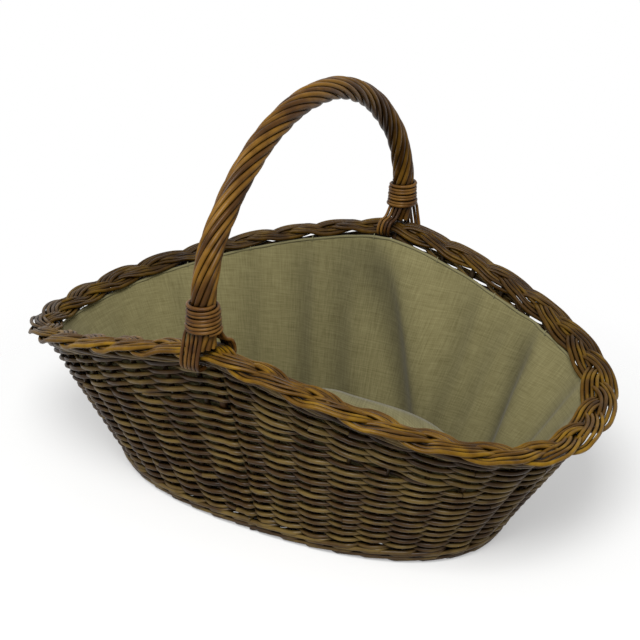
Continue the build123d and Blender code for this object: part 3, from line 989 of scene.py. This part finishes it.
@dataclass
class HandleFoot:
    """What holds one leg of the handle: a wound binding and two fans of ties."""

    side: Side
    leg: float = 189.0
    binding_low: float = 242.6
    binding_pitch: float = 3.45
    binding_turns: int = 7
    binding_radius: float = 1.75
    points_per_turn: int = 28
    ring_at_top: float = 12.9
    ring_at_foot: float = 14.9
    tuck_depth: float = 2.2
    tuck_turns: float = 0.12
    start_turns: float = 0.1
    tie_radius: float = 1.7
    tie_spacing: float = 4.0
    outer_ties: int = 5
    outer_middle: float = -8.5
    inner_ties: int = 4
    inner_middle: float = 2.0
    border_top: float = 226.0
    tones: tuple[float, float] = (2.0, 2.0)
    seed: int = 21

    def build(self, material: bpy.types.Material) -> None:
        """Wind the binding and lay the ties.

        Args:
            material: Their willow.
        """
        dice = np.random.default_rng(self.seed + self.side.value)
        self.build_binding(material)
        self.build_outer_ties(material, dice)
        self.build_inner_ties(material, dice)

    def bundle(self, words: str, radius: float) -> RodBundle:
        """Start a bundle that is named for this side."""
        return RodBundle(f"{self.side.name.lower()}_{words}", radius)

    def placed(self, points: np.ndarray) -> np.ndarray:
        """Turn a line of the near foot to this side."""
        return points * np.array([self.side.value, self.side.value, 1.0])

    def finish(self, bundle: RodBundle, node: str, material: bpy.types.Material) -> None:
        """Make a bundle the piece that stands for one of this side's nodes."""
        replaced = f"{self.side.name.lower()}_{node}"
        finish_piece(bundle.name, bundle.mesh(), material, (replaced,))

    def build_binding(self, material: bpy.types.Material) -> None:
        """Wind one rod round the leg, a little slack and uneven towards its foot.

        Args:
            material: Its willow.
        """
        binding = self.bundle("binding_rod", self.binding_radius)
        turns = np.linspace(-self.start_turns, self.binding_turns, self.binding_turns * self.points_per_turn)
        share = np.clip(turns / self.binding_turns, 0, 1)
        ring = self.ring_at_foot + (self.ring_at_top - self.ring_at_foot) * share**0.6
        ends = np.minimum(turns + self.start_turns, self.binding_turns - turns)
        ring = ring - self.tuck_depth * np.clip(1 - ends / self.tuck_turns, 0, 1) + 0.25 * np.sin(turns * 9)
        angle = FULL_TURN * turns
        height = self.binding_low + self.binding_pitch * turns
        height += 0.4 * np.sin(angle * 0.5) + 0.5 * np.sin(angle + 0.6) * (1 - share)
        line = np.stack([ring * np.cos(angle), ring * np.sin(angle) - self.leg, height], axis=1)
        binding.add(self.placed(line), 0.5, 1 + 0.07 * np.sin(turns * 5))
        self.finish(binding, "binding", material)

    def build_outer_ties(self, material: bpy.types.Material, dice: np.random.Generator) -> None:
        """Run ties side by side down over the border's outer edge and in under it.

        Args:
            material: Their willow.
            dice: The seeded source of tones and leans.
        """
        outer = self.bundle("outer_tie_rods", self.tie_radius)
        edge = SHAPE.border_half_width + SHAPE.border_width_at_middle / 2
        for number in range(self.outer_ties):
            x = self.outer_middle + (number - (self.outer_ties - 1) / 2) * self.tie_spacing
            lean = dice.uniform(-0.5, 0.5)
            # From under the binding over the border's outer edge, down it and in below
            route = [
                (x * 0.6 + 3.0, -self.leg - 11.0, self.binding_low + 7),
                (x + 4.6, -edge - 1.2, self.binding_low - 2),
                (x + 3.2 + lean, -edge - 2.6, self.border_top + 3.0),
                (x + 1.2 + lean, -edge - 3.0, self.border_top - 10.0),
                (x + 0.2, -edge - 0.6, self.border_top - 17.4),
                (x - 0.4, -edge + 5.0, self.border_top - 20.6),
                (x - 0.6, -edge + 12.0, self.border_top - 20.6),
            ]
            line = smooth_path(route)
            outer.add(self.placed(line), dice.beta(*self.tones), np.linspace(0.9, 1.08, len(line)))
        self.finish(outer, "outer_ties", material)

    def build_inner_ties(self, material: bpy.types.Material, dice: np.random.Generator) -> None:
        """Fan ties out from the binding down over the border's inner row.

        Args:
            material: Their willow.
            dice: The seeded source of tones.
        """
        inner = self.bundle("inner_tie_rods", self.tie_radius)
        lip = SHAPE.border_half_width - SHAPE.border_width_at_middle / 2
        for number in range(self.inner_ties):
            x = self.inner_middle + (number - (self.inner_ties - 1) / 2) * self.tie_spacing
            # From under the binding over the border's inner edge and down to the hem
            route = [
                (x * 0.8, -self.leg + 9.0, self.binding_low + 6),
                (x + 0.4, -self.leg + 11.5, self.binding_low - 2.0),
                (x + 2.6, -lip - 8.5, self.border_top + 4.8),
                (x + 5.2, -lip - 1.8, self.border_top + 0.6),
                (x + 6.6, -lip + 0.8, self.border_top - 7.5),
                (x + 7.2, -lip - 1.5, self.border_top - 13.0),
            ]
            inner.add(self.placed(smooth_path(route)), dice.beta(*self.tones))
        self.finish(inner, "inner_ties", material)


@dataclass
class BasePanel:
    """The woven base: rods that go round in ovals, over and under the sticks."""

    rod_radius: float = 2.1
    rounds: int = 20
    edge_inset: float = 9.0
    round_pitch: float = 4.6
    least_half_width: float = 3.0
    height: float = 8.0
    swing: float = 3.1
    cross_stick_reach: float = 144.0
    cross_stick_spacing: float = 32.0
    long_stick_spacing: float = 24.0
    points: int = 220
    tones: tuple[float, float] = (2.0, 2.0)
    seed: int = 31

    def build(self, material: bpy.types.Material) -> None:
        """Weave the base.

        Args:
            material: Its willow.
        """
        dice = np.random.default_rng(self.seed)
        bundle = RodBundle("base_weave_rods", self.rod_radius, Roundness.SIX_SIDED)
        angle = np.linspace(0, FULL_TURN, self.points, endpoint=False)
        for number in range(self.rounds):
            inset = self.edge_inset + number * self.round_pitch
            length = SHAPE.base_half_length - inset
            width = SHAPE.base_half_width - inset
            if width < self.least_half_width:
                break
            line = SHAPE.plan(length, width, SHAPE.base_power, angle)
            x, y = line[:, 0], line[:, 1]
            over_cross = np.cos(math.pi * x / self.cross_stick_spacing)
            over_long = np.cos(math.pi * y / self.long_stick_spacing)
            swing = np.where(np.abs(x) < self.cross_stick_reach, over_cross, over_long)
            line[:, 2] = self.height + self.swing * swing * (1 if number % 2 else -1)
            bundle.add(line, dice.beta(*self.tones), 1.0, True)
        finish_piece(bundle.name, bundle.mesh(), material, ("base_weave",))


@dataclass(frozen=True)
class Fold:
    """A soft fold of cloth: its places at the hem and the floor as shares of a turn, and its size."""

    at_hem: float
    at_floor: float
    depth: float
    width: float = 0.017
    steep_flank: float = 0.5
    gentle_flank: float = 1.35
    floor_spread: float = 1.35
    spread_fall: float = 0.6
    floor_depth: float = 0.2
    valley_place: float = 0.6
    valley_width: float = 0.62
    darkest_depth: float = 16.0

    def stand(self, turn: np.ndarray, share: np.ndarray) -> np.ndarray:
        """Return how far it stands in from the wall. Its left flank is the steeper one.

        Args:
            turn: Places round the basket, as shares of a turn.
            share: Heights, from 0 at the floor to 1 at the hem.

        Returns:
            Distances towards the middle.
        """
        middle = self.at_floor + (self.at_hem - self.at_floor) * share
        away = (turn - middle + 0.5) % 1.0 - 0.5
        flank = np.where(away > 0, self.steep_flank, self.gentle_flank)
        spread = self.width * (self.floor_spread - self.spread_fall * share) * flank
        rising = np.sin(math.pi * np.clip(share * 0.92 + 0.04, 0, 1))
        grow = self.floor_depth + (1 - self.floor_depth) * rising
        return self.depth * grow * np.exp(-((away / spread) ** 2))

    def valley(self, turn: np.ndarray, share: np.ndarray) -> np.ndarray:
        """Return how much shade is painted in the valley that runs beside its steeper flank.

        Args:
            turn: Places round the basket, as shares of a turn.
            share: Heights, from 0 at the floor to 1 at the hem.

        Returns:
            Painted shade from 0 to 1.
        """
        middle = self.at_floor + (self.at_hem - self.at_floor) * share + self.valley_place * self.width
        away = ((turn - middle + 0.5) % 1.0 - 0.5) / (self.valley_width * self.width)
        grow = np.clip((1 - share) * 5, 0, 1) ** 0.5
        return min(self.depth / self.darkest_depth, 1.0) * grow * np.exp(-(away**2))


FOLDS = (
    Fold(0.035, 0.03, 4.3),
    Fold(0.065, 0.06, 6.5),
    Fold(0.137, 0.10, 13.0, 0.02),
    Fold(0.162, 0.155, 5.1),
    Fold(0.190, 0.175, 7.2),
    Fold(0.250, 0.195, 18.8, 0.018),
    Fold(0.265, 0.250, 8.0),
    Fold(0.290, 0.283, 8.0),
    Fold(0.33, 0.335, 4.3),
    Fold(0.40, 0.40, 4.3),
    Fold(0.60, 0.60, 4.3),
    Fold(0.68, 0.68, 5.8),
    Fold(0.80, 0.80, 5.8),
    Fold(0.88, 0.88, 8.0),
    Fold(0.945, 0.945, 5.8),
)


@dataclass
class ClothLining:
    """The cotton lining: a bottom panel, a side strip with soft folds, its piped edge and its stitches."""

    inset: float = 8.1
    foot_inset: float = 15.0
    foot_rounding: float = 12.0
    floor: float = 15.3
    panel_height: float = 14.0
    panel_inset: float = 10.0
    panel_grid: tuple[int, int] = (60, 36)
    panel_swell: float = 0.6
    top_gap: float = 3.2
    slack_drop: float = 5.0
    thickness: float = 1.1
    columns: int = 420
    rows: int = 72
    ripple: float = 0.6
    puff_turn: float = 0.835
    puff_width: float = 0.054
    puff_depth: float = 31.0
    puff_rise: float = 12.0
    puff_crest: float = 0.93
    puff_edge: float = 0.07
    puff_fall: float = 0.28
    puff_ridge: float = 0.06
    puff_wave: float = 0.07
    floor_shade: float = 0.5
    floor_shade_power: float = 1.4
    puff_shade: float = 0.5
    hem_radius: float = 1.5
    hem_gap: float = 2.0
    hem_stand: float = 0.9
    hem_points: int = 360
    stitch_radius: float = 0.5
    stitch_stand: float = 2.7
    stakes_per_stitch: int = 2

    def fold(self, angle: np.ndarray, share: np.ndarray) -> np.ndarray:
        """Return how far the folded cloth stands in from the wall.

        Args:
            angle: Angles round the basket.
            share: Heights, from 0 at the floor to 1 at the hem.

        Returns:
            Distances towards the middle.
        """
        depth = np.zeros_like(angle)
        turn = angle / FULL_TURN
        for fold in FOLDS:
            depth += fold.stand(turn, share)
        # Fine waves run both ways and nearly die out where the cloth is sewn
        ripple = self.ripple * np.sin(angle * 23 + share * 5) * np.sin(share * 7 + angle * 3)
        return depth + ripple * np.clip(share * 4, 0, 1) * np.clip((1 - share) * 6, 0.15, 1)

    def crease(self, angle: np.ndarray, share: np.ndarray) -> np.ndarray:
        """Return how far the cloth is in shade: beside its folds, on the puff and low in the basket.

        Args:
            angle: Angles round the basket.
            share: Heights, from 0 at the floor to 1 at the hem.

        Returns:
            Shade from 0 to 1.
        """
        turn = angle / FULL_TURN
        swell, _ = self.puff(angle, share)
        dark = self.floor_shade * (1 - share) ** self.floor_shade_power
        dark = dark + self.puff_shade * swell / self.puff_depth
        for fold in FOLDS:
            dark = dark + fold.valley(turn, share)
        return np.clip(dark, 0, 1)

    def puff(self, angle: np.ndarray, share: np.ndarray) -> tuple[np.ndarray, np.ndarray]:
        """Return how the slack cloth below the near hem swells.

        Args:
            angle: Angles round the basket.
            share: Heights, from 0 at the floor to 1 at the hem.

        Returns:
            How far it swells inward, and how far it rises.
        """
        crest, edge, ridge = self.puff_crest, self.puff_edge, self.puff_ridge
        away = (angle / FULL_TURN - self.puff_turn) / self.puff_width
        round_rim = np.exp(-(away**4)) * (1 + self.puff_wave * np.cos(away * 4.0 - 0.8))
        falling = np.exp(-((np.clip(crest - share, 0, 1) / self.puff_fall) ** 2))
        below_hem = np.clip((1 - share) / edge, 0, 1) * falling
        above_crest = np.clip((share - crest) / edge, 0, 1)
        lifted = np.exp(-(((share - crest) / ridge) ** 2)) - math.exp(-((edge / ridge) ** 2)) * above_crest
        return self.puff_depth * round_rim * below_hem, self.puff_rise * round_rim * lifted

    def build(
        self, cloth: bpy.types.Material, piping: bpy.types.Material, thread: bpy.types.Material
    ) -> None:
        """Sew the lining in.

        Args:
            cloth: The finish of the side strip and the bottom panel.
            piping: The finish of the piped edge.
            thread: The finish of the stitches.
        """
        sides = self.build_sides(cloth)
        bottom = self.build_bottom(cloth)
        hem = self.build_hem(piping)
        stitches = self.build_stitches(thread)

    def build_sides(
        self, material: bpy.types.Material
    ) -> tuple[bpy.types.Object, float, tuple[float, float]]:
        """Hang the side strip.

        Args:
            material: Its cloth.

        Returns:
            The piece, its cut's area in square metres, and the cut's length and greatest height in metres.
        """
        cloth = bmesh.new()
        uv_layer = cloth.loops.layers.uv.new("UVMap")
        crease_layer = cloth.verts.layers.float.new("crease")
        bmesh.ops.create_grid(cloth, x_segments=self.columns, y_segments=self.rows, size=0.5, calc_uvs=False)
        verts = list(cloth.verts)
        flat = np.array([vert.co for vert in verts])
        angle = (flat[:, 0] + 0.5) * FULL_TURN
        share = flat[:, 1] + 0.5
        top = SHAPE.wall_top(angle)[:, 2] - self.top_gap - self.slack_drop * SHAPE.slack(angle)
        height = self.floor + (top - self.floor) * share
        rounding = np.clip(1 - (height - self.floor) / self.foot_rounding, 0, 1)
        inset = self.inset + (self.foot_inset - self.inset) * (1 - np.sqrt(np.clip(1 - rounding**2, 0, 1)))
        swell, rise = self.puff(angle, share)
        stand = inset + self.fold(angle, share) + swell
        place = SHAPE.wall_point(angle, height) - SHAPE.outward(angle) * stand[:, None] + UP * rise[:, None]
        for vert, point, crease in zip(verts, place, self.crease(angle, share)):
            vert.co = Vector(point * MM)
            vert[crease_layer] = float(crease)
        grid = place.reshape(self.rows + 1, self.columns + 1, 3)
        length = float(np.linalg.norm(np.diff(grid, axis=1), axis=2).sum(axis=1).max())
        heights = np.linalg.norm(np.diff(grid, axis=0), axis=2).sum(axis=0)
        for face in cloth.faces:
            for loop in face.loops:
                row, column = divmod(loop.vert.index, self.columns + 1)
                across, up = column / self.columns * length, row / self.rows * float(heights[column])
                loop[uv_layer].uv = (across, up)
        area = sum(face.calc_area() for face in cloth.faces)
        bmesh.ops.remove_doubles(cloth, verts=cloth.verts, dist=0.05 * MM)
        piece = self.finish_cloth(cloth, "lining_side_strip", "lining_sides", material)
        return piece, area, (length * MM, float(heights.max()) * MM)

    def build_bottom(self, material: bpy.types.Material) -> tuple[bpy.types.Object, float]:
        """Lay the bottom panel under the turned-in foot of the sides, slightly uneven as loose cloth is.

        Args:
            material: Its cloth.

        Returns:
            The piece and the area of its cut in square metres.
        """
        cloth = bmesh.new()
        columns, rows = self.panel_grid
        bmesh.ops.create_grid(cloth, x_segments=columns, y_segments=rows, size=1.0, calc_uvs=False)
        uv_layer = cloth.loops.layers.uv.new("UVMap")
        low = np.array([self.panel_height])
        for vert in cloth.verts:
            u, v = vert.co.x, vert.co.y
            x = u * math.sqrt(1 - v * v / 2)
            y = v * math.sqrt(1 - u * u / 2)
            reach = min(math.hypot(x, y), 1.0)
            angle = np.array([math.atan2(y, x)])
            edge = SHAPE.wall_point(angle, low) - SHAPE.outward(angle) * self.panel_inset
            uneven = 1 + math.sin(x * 9 + y * 4) * math.sin(y * 6 - x * 2)
            height = self.panel_height + self.panel_swell * uneven * (1 - reach**4)
            vert.co = Vector((edge[0, 0] * reach, edge[0, 1] * reach, height)) * MM
        for face in cloth.faces:
            for loop in face.loops:
                loop[uv_layer].uv = (loop.vert.co.x / MM, loop.vert.co.y / MM)
        area = sum(face.calc_area() for face in cloth.faces)
        return self.finish_cloth(cloth, "lining_bottom_panel", "lining_bottom", material), area

    def finish_cloth(
        self, cloth: bmesh.types.BMesh, name: str, node: str, material: bpy.types.Material
    ) -> bpy.types.Object:
        """Make a single layer of cloth a piece with its thickness and smooth faces.

        Args:
            cloth: The layer, which is used up.
            name: The piece's name.
            node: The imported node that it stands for.
            material: Its cloth.

        Returns:
            The piece.
        """
        bmesh.ops.recalc_face_normals(cloth, faces=cloth.faces)
        mesh = bpy.data.meshes.new(name)
        cloth.to_mesh(mesh)
        cloth.free()
        piece = finish_piece(name, mesh, material, (node,))
        piece.data.shade_smooth()
        wall = piece.modifiers.new("cloth thickness", "SOLIDIFY")
        wall.thickness = self.thickness * MM
        wall.offset = 0.0
        return piece

    def hem_point(self, angle: np.ndarray, inset: np.ndarray | float) -> np.ndarray:
        """Return points at the hem's height.

        Args:
            angle: Angles round the basket.
            inset: How far they lie in from the wall's middle, without the folds.

        Returns:
            A point for each angle.
        """
        height = SHAPE.wall_top(angle)[:, 2] - self.hem_gap - self.slack_drop * SHAPE.slack(angle)
        stand = inset + self.fold(angle, np.ones_like(angle))
        return SHAPE.wall_point(angle, height) - SHAPE.outward(angle) * stand[:, None]

    def build_hem(self, material: bpy.types.Material) -> bpy.types.Object:
        """Run the piped edge round under the border.

        Args:
            material: Its cloth.

        Returns:
            The piece.
        """
        angle = np.linspace(0, FULL_TURN, self.hem_points, endpoint=False)
        line = self.hem_point(angle, self.inset + self.hem_stand + 0.25 * np.sin(angle * 37))
        bundle = RodBundle("lining_piped_edge", self.hem_radius)
        bundle.add(line, 0.6, 1 + 0.08 * np.sin(angle * 71), True)
        return finish_piece(bundle.name, bundle.mesh(), material, ("lining_hem",))

    def build_stitches(self, material: bpy.types.Material) -> bpy.types.Object:
        """Tie the hem to the border's rods with small loops.

        Args:
            material: Their thread.

        Returns:
            The piece.
        """
        bundle = RodBundle("lining_tie_stitches", self.stitch_radius, Roundness.SIX_SIDED)
        for stake in range(0, SHAPE.stakes, self.stakes_per_stitch):
            angle = SHAPE.angle_at(np.array([float(stake)]))
            out = SHAPE.outward(angle)[0]
            foot = self.hem_point(angle, self.inset + self.stitch_stand)[0]
            loop = [
                foot + UP * -3.0 + out * 1.6,
                foot + UP * -1.0,
                foot + UP * 1.2,
                foot + UP * 3.4 + out * 2.0,
            ]
            bundle.add(smooth_path(loop), 0.5)
        return finish_piece(bundle.name, bundle.mesh(), material, ("lining_stitches",))


@dataclass(frozen=True)
class PhotoCamera:
    """The camera that the photograph's outline points give."""

    azimuth: float = 28.93
    elevation: float = 24.27
    roll: float = 1.17
    distance: float = 1352.73
    aim_height: float = 150.0
    aim_right: float = 7.18
    aim_up: float = 26.19
    focal_pixels: float = 1378.48
    image_pixels: float = 640.0
    film_width: float = 36.0

    def build(self) -> None:
        """Set the scene's camera."""
        turn, lift, roll = (math.radians(a) for a in (self.azimuth, self.elevation, self.roll))
        back = Vector((math.sin(turn) * math.cos(lift), -math.cos(turn) * math.cos(lift), math.sin(lift)))
        right = Vector((math.cos(turn), math.sin(turn), 0.0))
        up = back.cross(right)
        across = right * math.cos(roll) + up * math.sin(roll)
        upright = up * math.cos(roll) - right * math.sin(roll)
        place = Vector((0, 0, self.aim_height)) + back * self.distance
        place += across * self.aim_right + upright * self.aim_up
        data = bpy.data.cameras.new("photo_camera")
        data.sensor_width = self.film_width
        data.lens = self.focal_pixels / self.image_pixels * self.film_width
        camera = bpy.data.objects.new("photo_camera", data)
        bpy.context.scene.collection.objects.link(camera)
        axes = Matrix((across, upright, back)).transposed().to_4x4()
        camera.matrix_world = Matrix.Translation(place * MM) @ axes
        bpy.context.scene.camera = camera
        bpy.context.scene.view_settings.view_transform = "Standard"


@dataclass(frozen=True)
class SoftLamp:
    """A square soft lamp: its name, place and side in metres, and its power in watts."""

    name: str
    place: tuple[float, float, float]
    size: float
    power: float
    aim: tuple[float, float, float] = (0.0, 0.0, 0.15)

    def build(self) -> None:
        """Hang the lamp so that it faces the basket."""
        data = bpy.data.lights.new(self.name, "AREA")
        data.size = self.size
        data.energy = self.power
        lamp = bpy.data.objects.new(self.name, data)
        bpy.context.scene.collection.objects.link(lamp)
        lamp.location = self.place
        lamp.rotation_euler = (Vector(self.place) - Vector(self.aim)).to_track_quat("Z", "Y").to_euler()


LAMPS = (
    SoftLamp("key_lamp", (0.45, -1.15, 1.6), 0.8, 38.0),
    SoftLamp("fill_lamp", (-1.5, -0.6, 1.1), 1.2, 4.0),
)


@dataclass(frozen=True)
class Studio:
    """A white sweep, a pale floor that fades into it, and soft lamps."""

    white: str = "FFFFFF"
    paper: str = "FBFBFA"
    world_strength: float = 0.38
    floor_radius: float = 1.4
    floor_sides: int = 96
    floor_fade: float = 0.4
    fade_range: tuple[float, float] = (0.3, 0.6)

    def build(self) -> None:
        """Set up the floor, the world and the lamps."""
        self.build_world()
        self.build_floor()
        for lamp in LAMPS:
            lamp.build()

    def build_world(self) -> None:
        """Light the basket evenly and show plain white behind it."""
        world = bpy.data.worlds.new("studio")
        bpy.context.scene.world = world
        world.use_nodes = True
        world.node_tree.nodes.clear()
        node = partial(add_node, world.node_tree)
        greater = {"operation": "MAXIMUM"}
        ray = node("ShaderNodeLightPath").outputs
        clear = node("ShaderNodeMath", greater, {0: ray["Is Glossy Ray"], 1: ray["Is Transmission Ray"]})
        seen = node("ShaderNodeMath", greater, {0: ray["Is Camera Ray"], 1: clear.outputs[0]})
        dim = {"Color": linear(self.white), "Strength": self.world_strength}
        light = node("ShaderNodeBackground", None, dim)
        backdrop = node("ShaderNodeBackground", None, {"Color": linear(self.white), "Strength": 1.0})
        both = {0: seen.outputs[0], 1: light.outputs[0], 2: backdrop.outputs[0]}
        mix = node("ShaderNodeMixShader", None, both)
        node("ShaderNodeOutputWorld", None, {0: mix.outputs[0]})

    def build_floor(self) -> None:
        """Lay a pale matt floor that fades out round the basket."""
        # Matt paper has no glints, so that it shows nothing but a soft shadow under the basket
        material, node = new_material("matt_white_paper")
        place = node("ShaderNodeTexCoord")
        away = node("ShaderNodeVectorMath", {"operation": "LENGTH"}, {0: place.outputs["Object"]})
        low, high = self.fade_range
        fading = {
            "Value": away.outputs["Value"],
            "From Min": low,
            "From Max": high,
            "To Min": self.floor_fade,
        }
        fade = node("ShaderNodeMapRange", {"interpolation_type": "SMOOTHSTEP"}, fading)
        paper = node("ShaderNodeBsdfDiffuse", None, {"Color": linear(self.paper)})
        clear = node("ShaderNodeBsdfTransparent")
        both = {0: fade.outputs[0], 1: paper.outputs[0], 2: clear.outputs[0]}
        mix = node("ShaderNodeMixShader", None, both)
        node("ShaderNodeOutputMaterial", None, {0: mix.outputs[0]})
        sheet = bmesh.new()
        bmesh.ops.create_circle(sheet, cap_ends=True, segments=self.floor_sides, radius=self.floor_radius)
        mesh = bpy.data.meshes.new("paper_floor")
        sheet.to_mesh(mesh)
        sheet.free()
        mesh.materials.append(material)
        floor = bpy.data.objects.new("paper_floor", mesh)
        bpy.context.scene.collection.objects.link(floor)


# Stained, thinly varnished willow rods: each has its own brown, and painted shade takes the gaps nearly to
# black
WALL_WILLOW = WillowFinish(
    "stained_willow_wall",
    "040200",
    "241609",
    "3F2B11",
    "6A562B",
    tone_share=0.5,
    varnish=0.14,
    rod_length=400,
)
# Varnished willow whose staining is worn to gold, with painted shade towards the left end and the far side,
# where less light falls
BORDER_WILLOW = WillowFinish(
    "varnished_willow_border",
    "0A0400",
    "2F1B03",
    "593C08",
    "8D6A15",
    tone_share=0.3,
    rod_length=1500,
    hollow_reach=8.0,
    left_painted_shade=0.5,
    far_painted_shade=0.45,
)
# Long varnished rods laid round the bow: warm brown, with painted shade in the lines between them that show
# the twist, and on the far side
HANDLE_WILLOW = WillowFinish(
    "varnished_willow_handle", "0A0400", "281705", "482D0B", "77541A", rod_length=700, far_painted_shade=0.25
)
# Fine rods, soaked to wind them tight: a darker and redder brown than the border's gold
BINDING_WILLOW = WillowFinish("fine_willow_binding", "080300", "281706", "482C0F", "775423", rod_length=120)
# Stout sticks with the same staining as the rods: one even, dull brown that is seen only between them, with
# painted shade in their hollows
STICK_WILLOW = WillowFinish("stained_willow_sticks", "0A0502", "22180D", "3F2F18", "5E4C2A", rod_length=200)
# Plain-woven khaki cotton: matt, with slubs both ways, so that its folds, the shade painted beside them, and
# its threads give it its tones
LINING_COTTON = ClothFinish("khaki_plain_cotton", "625B38", "88815A")
# The same cotton on the bias round a cord, painted a little lighter for the light that it catches where it
# stands clear
PIPING_COTTON = ClothFinish("khaki_piping", "6A6444", "928C66")
# Twisted cotton thread, matt and pale against the willow
THREAD_COTTON = ClothFinish("khaki_thread", "6A6748", "8F8B68")


def dress_nodes(material: bpy.types.Material, names: tuple[str, ...]) -> None:
    """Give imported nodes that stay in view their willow.

    Args:
        material: The willow.
        names: The nodes.
    """
    for name in names:
        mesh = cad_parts[name].data
        mesh.materials.clear()
        mesh.materials.append(material)


def main() -> None:
    """Build the basket, its studio and its camera."""
    logging.basicConfig(level=logging.INFO, format="%(name)s %(message)s")
    PhotoCamera().build()
    Studio().build()
    wall_willow = WALL_WILLOW.make()
    handle_willow = HANDLE_WILLOW.make()
    binding_willow = BINDING_WILLOW.make()
    wall = WovenWall()
    wall.build_rows(wall_willow)
    wall.build_wales(wall_willow)
    PlaitedBorder().build(BORDER_WILLOW.make())
    HandleArch().build(handle_willow)
    for side in Side:
        HandleFoot(side).build(binding_willow)
    BasePanel().build(wall_willow)
    ClothLining().build(LINING_COTTON.make(), PIPING_COTTON.make(), THREAD_COTTON.make())
    stakes = tuple(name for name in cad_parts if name.endswith("stakes"))
    dress_nodes(STICK_WILLOW.make(), (*stakes, "base_long_sticks", "base_cross_sticks"))
    dress_nodes(handle_willow, ("handle_bow",))


if __name__ == "__main__":
    main()
